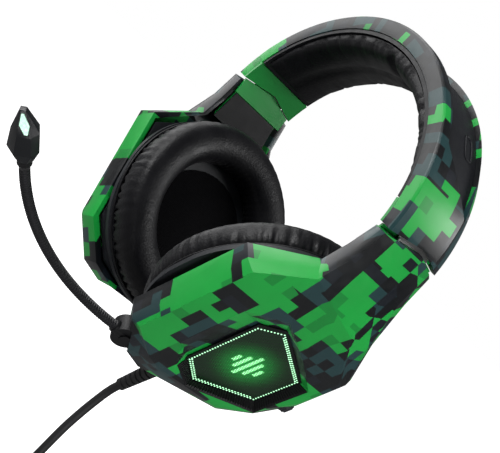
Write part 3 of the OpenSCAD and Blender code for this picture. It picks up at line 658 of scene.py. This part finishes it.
def ear_cushion(side, body, node):
    name = "left" if side > 0 else "right"
    around, section = 288, 44
    profile = [(-0.78, 0), (-0.2, 0.0), (0.62, 0), (0.86, 0.07), (0.97, 0.2), (1.0, 0.42), (0.93, 0.7),
               (0.7, 0.9), (0.35, 0.985), (0.0, 1.0), (-0.35, 0.96), (-0.68, 0.84), (-0.88, 0.62),
               (-0.95, 0.35), (-0.9, 0.12)]
    pts = [Vector((p[0], p[1], 0)) for p in profile]
    loop = catmull([pts[-1]] + pts + [pts[0], pts[1]], 12)[12:-12]
    lengths = [0.0]
    for a, b in zip(loop, loop[1:]):
        lengths.append(lengths[-1] + (b - a).length)
    total = lengths[-1]
    shape = []
    for k in range(section):
        want = total * k / section
        i = max(j for j in range(len(lengths)) if lengths[j] <= want)
        i = min(i, len(loop) - 2)
        s = (want - lengths[i]) / max(lengths[i + 1] - lengths[i], 1e-9)
        shape.append(loop[i].lerp(loop[i + 1], s))
    mid, half, depth, oval = 37.8, 10.2, 16.4, 3.4
    rings, held = [], []
    for k in range(around):
        a = 2 * math.pi * k / around
        ring = []
        for p in shape:
            r = mid + half * p.x
            ring.append(cup(-6.7 - depth * p.y, -r * math.cos(a), (r + oval) * math.sin(a), side))
            held.append(1.0 if p.y < 0.05 else 0.0)
        rings.append(ring)
    verts, faces = ring_grid(rings, True)
    if side > 0:
        faces = [tuple(reversed(f)) for f in faces]
    ob = mesh_object(name + "_ear_pad", verts, faces, M["leather"])
    inflate(ob, held, 5.0, 14, 0.002)
    rng = random.Random(11 if side > 0 else 23)
    pleats = []
    a = 0.0
    while a < 2 * math.pi:
        width = rng.uniform(0.05, 0.095)
        pleats.append((a, width, rng.uniform(0.5, 1.0), rng.uniform(0.35, 0.85), rng.uniform(-0.05, 0.05)))
        a += width
    me = ob.data
    co = np.array([v.co for v in me.vertices])
    no = np.array([v.normal for v in me.vertices])
    push = np.zeros(len(co))
    drag = np.zeros(len(co))
    for k in range(around):
        ang = 2 * math.pi * k / around
        for j, p in enumerate(shape):
            i = k * section + j
            outer = max(0.0, p.x)
            rise = p.y
            if p.x > 0.3:
                fade = max(0.0, 1 - rise / 0.95) ** 0.8 * min(1, rise / 0.06)
            elif p.x < -0.3:
                fade = 0.55 * max(0.0, 1 - rise / 0.9) * min(1, rise / 0.06)
            else:
                fade = 0.06
            best = 0.0
            for start, width, deep, reach, slant in pleats:
                d = (ang - start - slant * rise + math.pi) % (2 * math.pi) - math.pi
                if abs(d) < width * 1.1:
                    w = math.exp(-(d / (width * 0.22)) ** 2)
                    best = max(best, w * deep * max(0.0, 1 - rise / (reach + 0.15)))
            push[i] = -0.0017 * best * (0.2 + fade) + 0.0003 * fade * math.sin(ang * 61 + 3 * rise)
    co += no * push[:, None]
    me.vertices.foreach_set("co", co.astype(np.float32).ravel())
    me.update()
    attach(ob, body)
    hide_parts(node)
    # piping where the cover is sewn to its base ring
    pipe = []
    for k in range(160):
        a = 2 * math.pi * k / 160
        r = 47.4
        pipe.append(cup(-7.4, -r * math.cos(a), (r + oval) * math.sin(a), side))
    seam = curve_object(name + "_ear_piping", pipe + [pipe[0]], 0.0006, M["leather"], 3)
    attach(seam, body)


ear_cushion(1, "left_speaker", "left_ear_cushion")
ear_cushion(-1, "right_speaker", "right_ear_cushion")


def head_pad():
    along, across = 170, 44
    rings, held = [], []
    for k in range(along + 1):
        t = -70 + 140 * k / along
        full = max(0.12, math.cos(math.radians(t * 90 / 74)) ** 0.45)
        y = 15.4 + 1.6 * full
        ring = []
        for j in range(across):
            a = 2 * math.pi * j / across
            yy = -y * math.cos(a) * (1 if abs(math.cos(a)) < 0.95 else 0.995)
            lift = math.sin(a)
            if lift >= 0:
                crown = abs(lift) ** 0.55
                fold = 0.16 * math.exp(-(yy / 2.2) ** 2)
                depth = 9.1 + 8.6 * full * (0.06 + 0.94 * crown * (1 - fold))
            else:
                depth = 9.1 + 0.4 * (1 - abs(lift))
            if lift > 0:
                depth -= 3.2 * math.exp(-(t / 2.6) ** 2) * lift ** 0.5
            ring.append(arc(t, depth, yy))
            sewn = lift < 0.15 or k < 2 or k > along - 2 or abs(yy) < 0.5 or abs(t) < 0.5
            held.append(1.0 if sewn else 0.0)
        rings.append(ring)
    verts, faces = ring_grid(rings, False)
    ob = mesh_object("head_pad", verts, faces, M["head_leather"])
    face_outward(ob)
    inflate(ob, held, 4.0, 12, 0.0012)
    me = ob.data
    co = np.array([v.co for v in me.vertices])
    no = np.array([v.normal for v in me.vertices])
    rng = random.Random(5)
    folds = [(rng.uniform(-68, 68), rng.uniform(0.6, 1.6), rng.uniform(0.3, 1), rng.choice((-1, 1)))
             for _ in range(70)]
    push = np.zeros(len(co))
    for k in range(along + 1):
        t = -70 + 140 * k / along
        for j in range(across):
            a = 2 * math.pi * j / across
            edge = abs(math.cos(a)) ** 3
            if math.sin(a) < 0:
                continue
            best = 0.0
            for at, width, deep, where in folds:
                if where * math.cos(a) < 0:
                    continue
                best = max(best, deep * math.exp(-((t - at) / width) ** 2))
            push[k * across + j] = -0.0007 * best * edge
    co += no * push[:, None]
    me.vertices.foreach_set("co", co.astype(np.float32).ravel())
    me.update()
    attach(ob, "headband")
    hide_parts("head_cushion")


head_pad()

# ---------------------------------------------------------------- grille lenses
LENS = [(14, 14.6), (13.9, -24.4), (2.2, -32.6), (-24.6, -20.2), (-25.2, 4.6), (4.2, 21.1)]
LENS_D = 10.6
BARS = [(-10.4, 2.4), (-7.0, 5.4), (-3.6, 8.4), (-0.2, 5.0), (3.2, 2.2)]


def lens_material(name, side):
    """Perforated gloss panel: rows of pin holes that glow from a lamp behind, and five level bars."""
    n = Nodes(name)
    s = n.split(n.in_cup(side))
    f, u = s[1], s[2]
    pitch = 1.12
    row = n.math("FLOOR", n.math("DIVIDE", u, pitch * 0.87))
    shift = n.math("MULTIPLY", n.math("MODULO", n.math("ABSOLUTE", row), 2.0), pitch / 2)
    ff = n.math("ADD", f, shift)
    cf = n.math("SUBTRACT", n.math("FRACT", n.math("DIVIDE", n.math("ADD", ff, 200.0), pitch)), 0.5)
    cu = n.math("SUBTRACT", n.math("FRACT", n.math("DIVIDE", u, pitch * 0.87)), 0.5)
    rad = n.vec("LENGTH", n.join(cf, n.math("MULTIPLY", cu, 0.87), 0.0))
    hole = n.map(rad, 0.22, 0.34, 1.0, 0.0, True)
    centre = n.vec("DISTANCE", n.join(0.0, f, u), (0.0, -3.6, -6.0))
    halo = n.map(centre, 1.0, 21.0, 1.0, 0.0, True)
    halo = n.math("POWER", halo, 1.8)
    bars = None
    for fb, h in BARS:
        df = n.math("ABSOLUTE", n.math("SUBTRACT", f, fb))
        du = n.math("SUBTRACT", n.math("ABSOLUTE", n.math("SUBTRACT", u, -6.0)), h)
        b = n.math("MULTIPLY", n.map(df, 0.8, 1.1, 1.0, 0.0), n.map(du, 0.0, 0.5, 1.0, 0.0))
        bars = b if bars is None else n.math("MAXIMUM", bars, b)
    power = n.math("ADD", n.math("MULTIPLY", halo, 0.85), n.math("MULTIPLY", bars, 2.6))
    power = n.math("ADD", power, 0.035)
    glow = n.math("MULTIPLY", power, n.map(hole, 0.0, 1.0, 0.1, 1.0))
    colour = n.mix(n.math("MULTIPLY", bars, 0.55), (0.02, 0.9, 0.12), (0.55, 1.0, 0.6))
    n.bump(hole, -0.6, 0.0003)
    # the pin holes are painted darker than the panel around them: painted shade inside the holes
    base = n.mix(hole, (0.004, 0.006, 0.005), (0.001, 0.002, 0.001))
    return n.set(Base_Color=base, Roughness=n.map(n.noise(n.place, 400, 3), 0.3, 0.7, 0.24, 0.36),
                 Emission_Color=colour, Emission_Strength=glow)


def glow_material(name, colour, strength):
    n = Nodes(name)
    flicker = n.map(n.noise(n.place, 500, 2), 0.3, 0.7, 0.8 * strength, 1.1 * strength)
    return n.set(Base_Color=(0.3, 0.8, 0.4, 1), Emission_Color=(*colour, 1), Emission_Strength=flicker,
                 Roughness=0.4)


M["dots"] = glow_material("outline_lamps", (0.5, 1.0, 0.6), 1.5)


def lens(side, body, node):
    name = "left" if side > 0 else "right"
    top = LENS_D + 1.4
    verts = [cup(top, f, u, side) for f, u in LENS] + [cup(LENS_D, f, u, side) for f, u in LENS]
    n = len(LENS)
    faces = [tuple(range(n)), tuple(reversed(range(n, 2 * n)))]
    faces += [(i, (i + n), (i + 1) % n + n, (i + 1) % n) for i in range(n)]
    ob = mesh_object(name + "_grille", verts, faces, lens_material(name + "_grille_lamp", side), False)
    bm = bmesh.new()
    bm.from_mesh(ob.data)
    bmesh.ops.recalc_face_normals(bm, faces=bm.faces)
    bmesh.ops.bevel(bm, geom=bm.edges[:], offset=0.0004, segments=2, affect="EDGES", profile=0.5)
    bm.to_mesh(ob.data)
    bm.free()
    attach(ob, body)
    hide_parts(node)
    dots_v, dots_f = [], []
    cf = sum(p[0] for p in LENS) / n
    cu = sum(p[1] for p in LENS) / n

    def inset(p, gap):
        v = Vector((p[0] - cf, p[1] - cu))
        return Vector(p) - v.normalized() * gap

    for gap, sides in ((0.9, range(n)), (2.0, (1, 2, 4))):
        for i in sides:
            a, b = inset(LENS[i], gap), inset(LENS[(i + 1) % n], gap)
            count = max(2, round((b - a).length / 1.45))
            for k in range(count):
                q = a.lerp(b, k / count)
                base = len(dots_v)
                for height, r in ((0.06, 0.36), (-0.1, 0.4)):
                    for m in range(8):
                        ang = 2 * math.pi * m / 8
                        f, u = q.x + r * math.cos(ang), q.y + r * math.sin(ang)
                        dots_v.append(cup(top + height, f, u, side))
                dots_f.append(tuple(base + m for m in range(8)))
                dots_f += [(base + m, base + 8 + m, base + 8 + (m + 1) % 8, base + (m + 1) % 8)
                           for m in range(8)]
    dots = mesh_object(name + "_outline_dots", dots_v, dots_f, M["dots"], False)
    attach(dots, body)


def pocket_ribs(side, body):
    """Ribbed black walls on the lower and rear sides of the lens pocket."""
    foot = [(13.9, -24.4), (2.2, -32.6), (-24.6, -20.2), (-25.2, 4.6)]
    brim = [(17, -27), (4, -34.2), (-27.5, -22.4), (-28.4, 7.6)]
    mid = Vector((-3.5, -6))
    rows = []
    for i in range(3):
        f0, f1, b0, b1 = (Vector(v) for v in (foot[i], foot[i + 1], brim[i], brim[i + 1]))
        count = round((f1 - f0).length / 1.15)
        for k in range(count):
            for part, out in ((0.0, 0.0), (0.14, 0.35), (0.5, 0.35), (0.64, 0.0)):
                s = (k + part) / count
                low, high = f0.lerp(f1, s), b0.lerp(b1, s)
                low += (low - mid).normalized() * (0.5 - out)
                edge = high + (mid - high).normalized() * 0.12
                high += (mid - high).normalized() * (0.75 + out)
                rows.append((cup(12.0, low.x, low.y, side), cup(15.3, high.x, high.y, side),
                             cup(16.0, edge.x, edge.y, side)))
    verts = [p for r in rows for p in r]
    faces = [q for i in range(len(rows) - 1) for q in ((3 * i, 3 * i + 3, 3 * i + 4, 3 * i + 1),
                                                       (3 * i + 1, 3 * i + 4, 3 * i + 5, 3 * i + 2))]
    ob = mesh_object(("left" if side > 0 else "right") + "_pocket_ribs", verts, faces, M["black"], False)
    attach(ob, body)


pocket_ribs(1, "left_arm")
pocket_ribs(-1, "right_arm")
lens(1, "left_arm", "left_lens")
lens(-1, "right_arm", "right_lens")

# ---------------------------------------------------------------- microphone
# radius of the boom's arc, and where the boom leaves the hub in the cup's own frame
BOOM_R, BOOM_FOOT = 117.5, (8.0, 44.0, -38.2)


def boom_point(a):
    t = math.radians(a)
    d, f, u = BOOM_FOOT
    return cup(d, f + BOOM_R * math.sin(t), u + BOOM_R * (1 - math.cos(t)))


def boom_dir(a):
    t = math.radians(a)
    p = cup(0, math.cos(t), math.sin(t)) - cup(0, 0, 0)
    return p.normalized()


side_dir = (cup(1, 0, 0) - cup(0, 0, 0)).normalized()
rings = []
first, last = -0.9, 47.3
steps = 300
for k in range(steps + 1):
    a = first + (last - first) * k / steps
    r = (2.2 - (0.34 if k % 4 in (2, 3) else 0)) / 1000
    c = boom_point(a)
    n2 = boom_dir(a).cross(side_dir).normalized()
    rings.append([c + r * (math.cos(2 * math.pi * j / 16) * side_dir + math.sin(2 * math.pi * j / 16) * n2)
                  for j in range(16)])
bv, bf = ring_grid(rings, False)
boom = mesh_object("boom_sleeve", bv, bf, M["boom"])
face_outward(boom)
crease(boom, 40)
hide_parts("mic_boom_lower", "mic_boom_upper")
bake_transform(boom)
rounded_copy("mic_head_shell", "mic_head", "mic_tip", 0.0004, M["mic"], 18, 0.002)


def window_material():
    n = Nodes("mic_window_lamp")
    streak = n.noise(n.vec("MULTIPLY", n.place, (300.0, 900.0, 900.0)), 1.0, 2)
    colour = n.mix(streak, (0.25, 0.85, 0.5), (0.85, 1.0, 0.92))
    return n.set(Base_Color=(0.6, 0.9, 0.75, 1), Roughness=0.3, Emission_Color=colour,
                 Emission_Strength=n.map(streak, 0.3, 0.7, 0.35, 0.9))


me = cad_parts["mic_window"].data
me.materials.clear()
me.materials.append(window_material())

# ---------------------------------------------------------------- floor, light and world
floor_n = Nodes("pale_floor")
seen = floor_n.tree.nodes.new("ShaderNodeLightPath").outputs["Is Camera Ray"]
floor_mat = floor_n.set(
    Base_Color=floor_n.mix(seen, (0.22, 0.22, 0.22), (0.9, 0.9, 0.9)), Roughness=0.95, Specular_IOR_Level=0.1,
    Emission_Color=(1, 1, 1, 1), Emission_Strength=floor_n.map(seen, 0.0, 1.0, 0.02, 1.0))
FLOOR_HALF, FLOOR_Z = 6, -0.41
corners = [(x * FLOOR_HALF, y * FLOOR_HALF, FLOOR_Z) for x, y in ((-1, -1), (1, -1), (1, 1), (-1, 1))]
floor = mesh_object("floor", corners, [(0, 1, 2, 3)], floor_mat)


def area(name, place, target, size, power):
    li = bpy.data.lights.new(name, "AREA")
    li.shape = "RECTANGLE"
    li.size, li.size_y = size
    li.energy = power
    ob = link(bpy.data.objects.new(name, li))
    ob.location = place
    ob.rotation_euler = (Vector(target) - Vector(place)).to_track_quat("-Z", "Y").to_euler()


middle = (0.0, 0.0, -0.08)
area("key", (-0.1, -1.0, 0.8), middle, (0.8, 0.5), 15)
area("sheet", (-1.05, -0.55, 0.5), middle, (1.5, 1.3), 14)
area("fill", (1.2, -0.1, -0.3), middle, (0.5, 0.5), 10)
area("rim", (0.5, 0.9, 0.5), middle, (0.7, 0.4), 8)
world = bpy.data.worlds.new("studio")
bpy.context.scene.world = world
world.use_nodes = True
wt = world.node_tree
wt.nodes["Background"].inputs[0].default_value = (1, 1, 1, 1)
wt.nodes["Background"].inputs[1].default_value = 0.1
bright = wt.nodes.new("ShaderNodeBackground")
bright.inputs[0].default_value = (1, 1, 1, 1)
bright.inputs[1].default_value = 1.0
pick = wt.nodes.new("ShaderNodeMixShader")
wt.links.new(wt.nodes.new("ShaderNodeLightPath").outputs["Is Camera Ray"], pick.inputs[0])
wt.links.new(wt.nodes["Background"].outputs[0], pick.inputs[1])
wt.links.new(bright.outputs[0], pick.inputs[2])
wt.links.new(pick.outputs[0], wt.nodes["World Output"].inputs[0])
bpy.context.scene.view_settings.view_transform = "Standard"
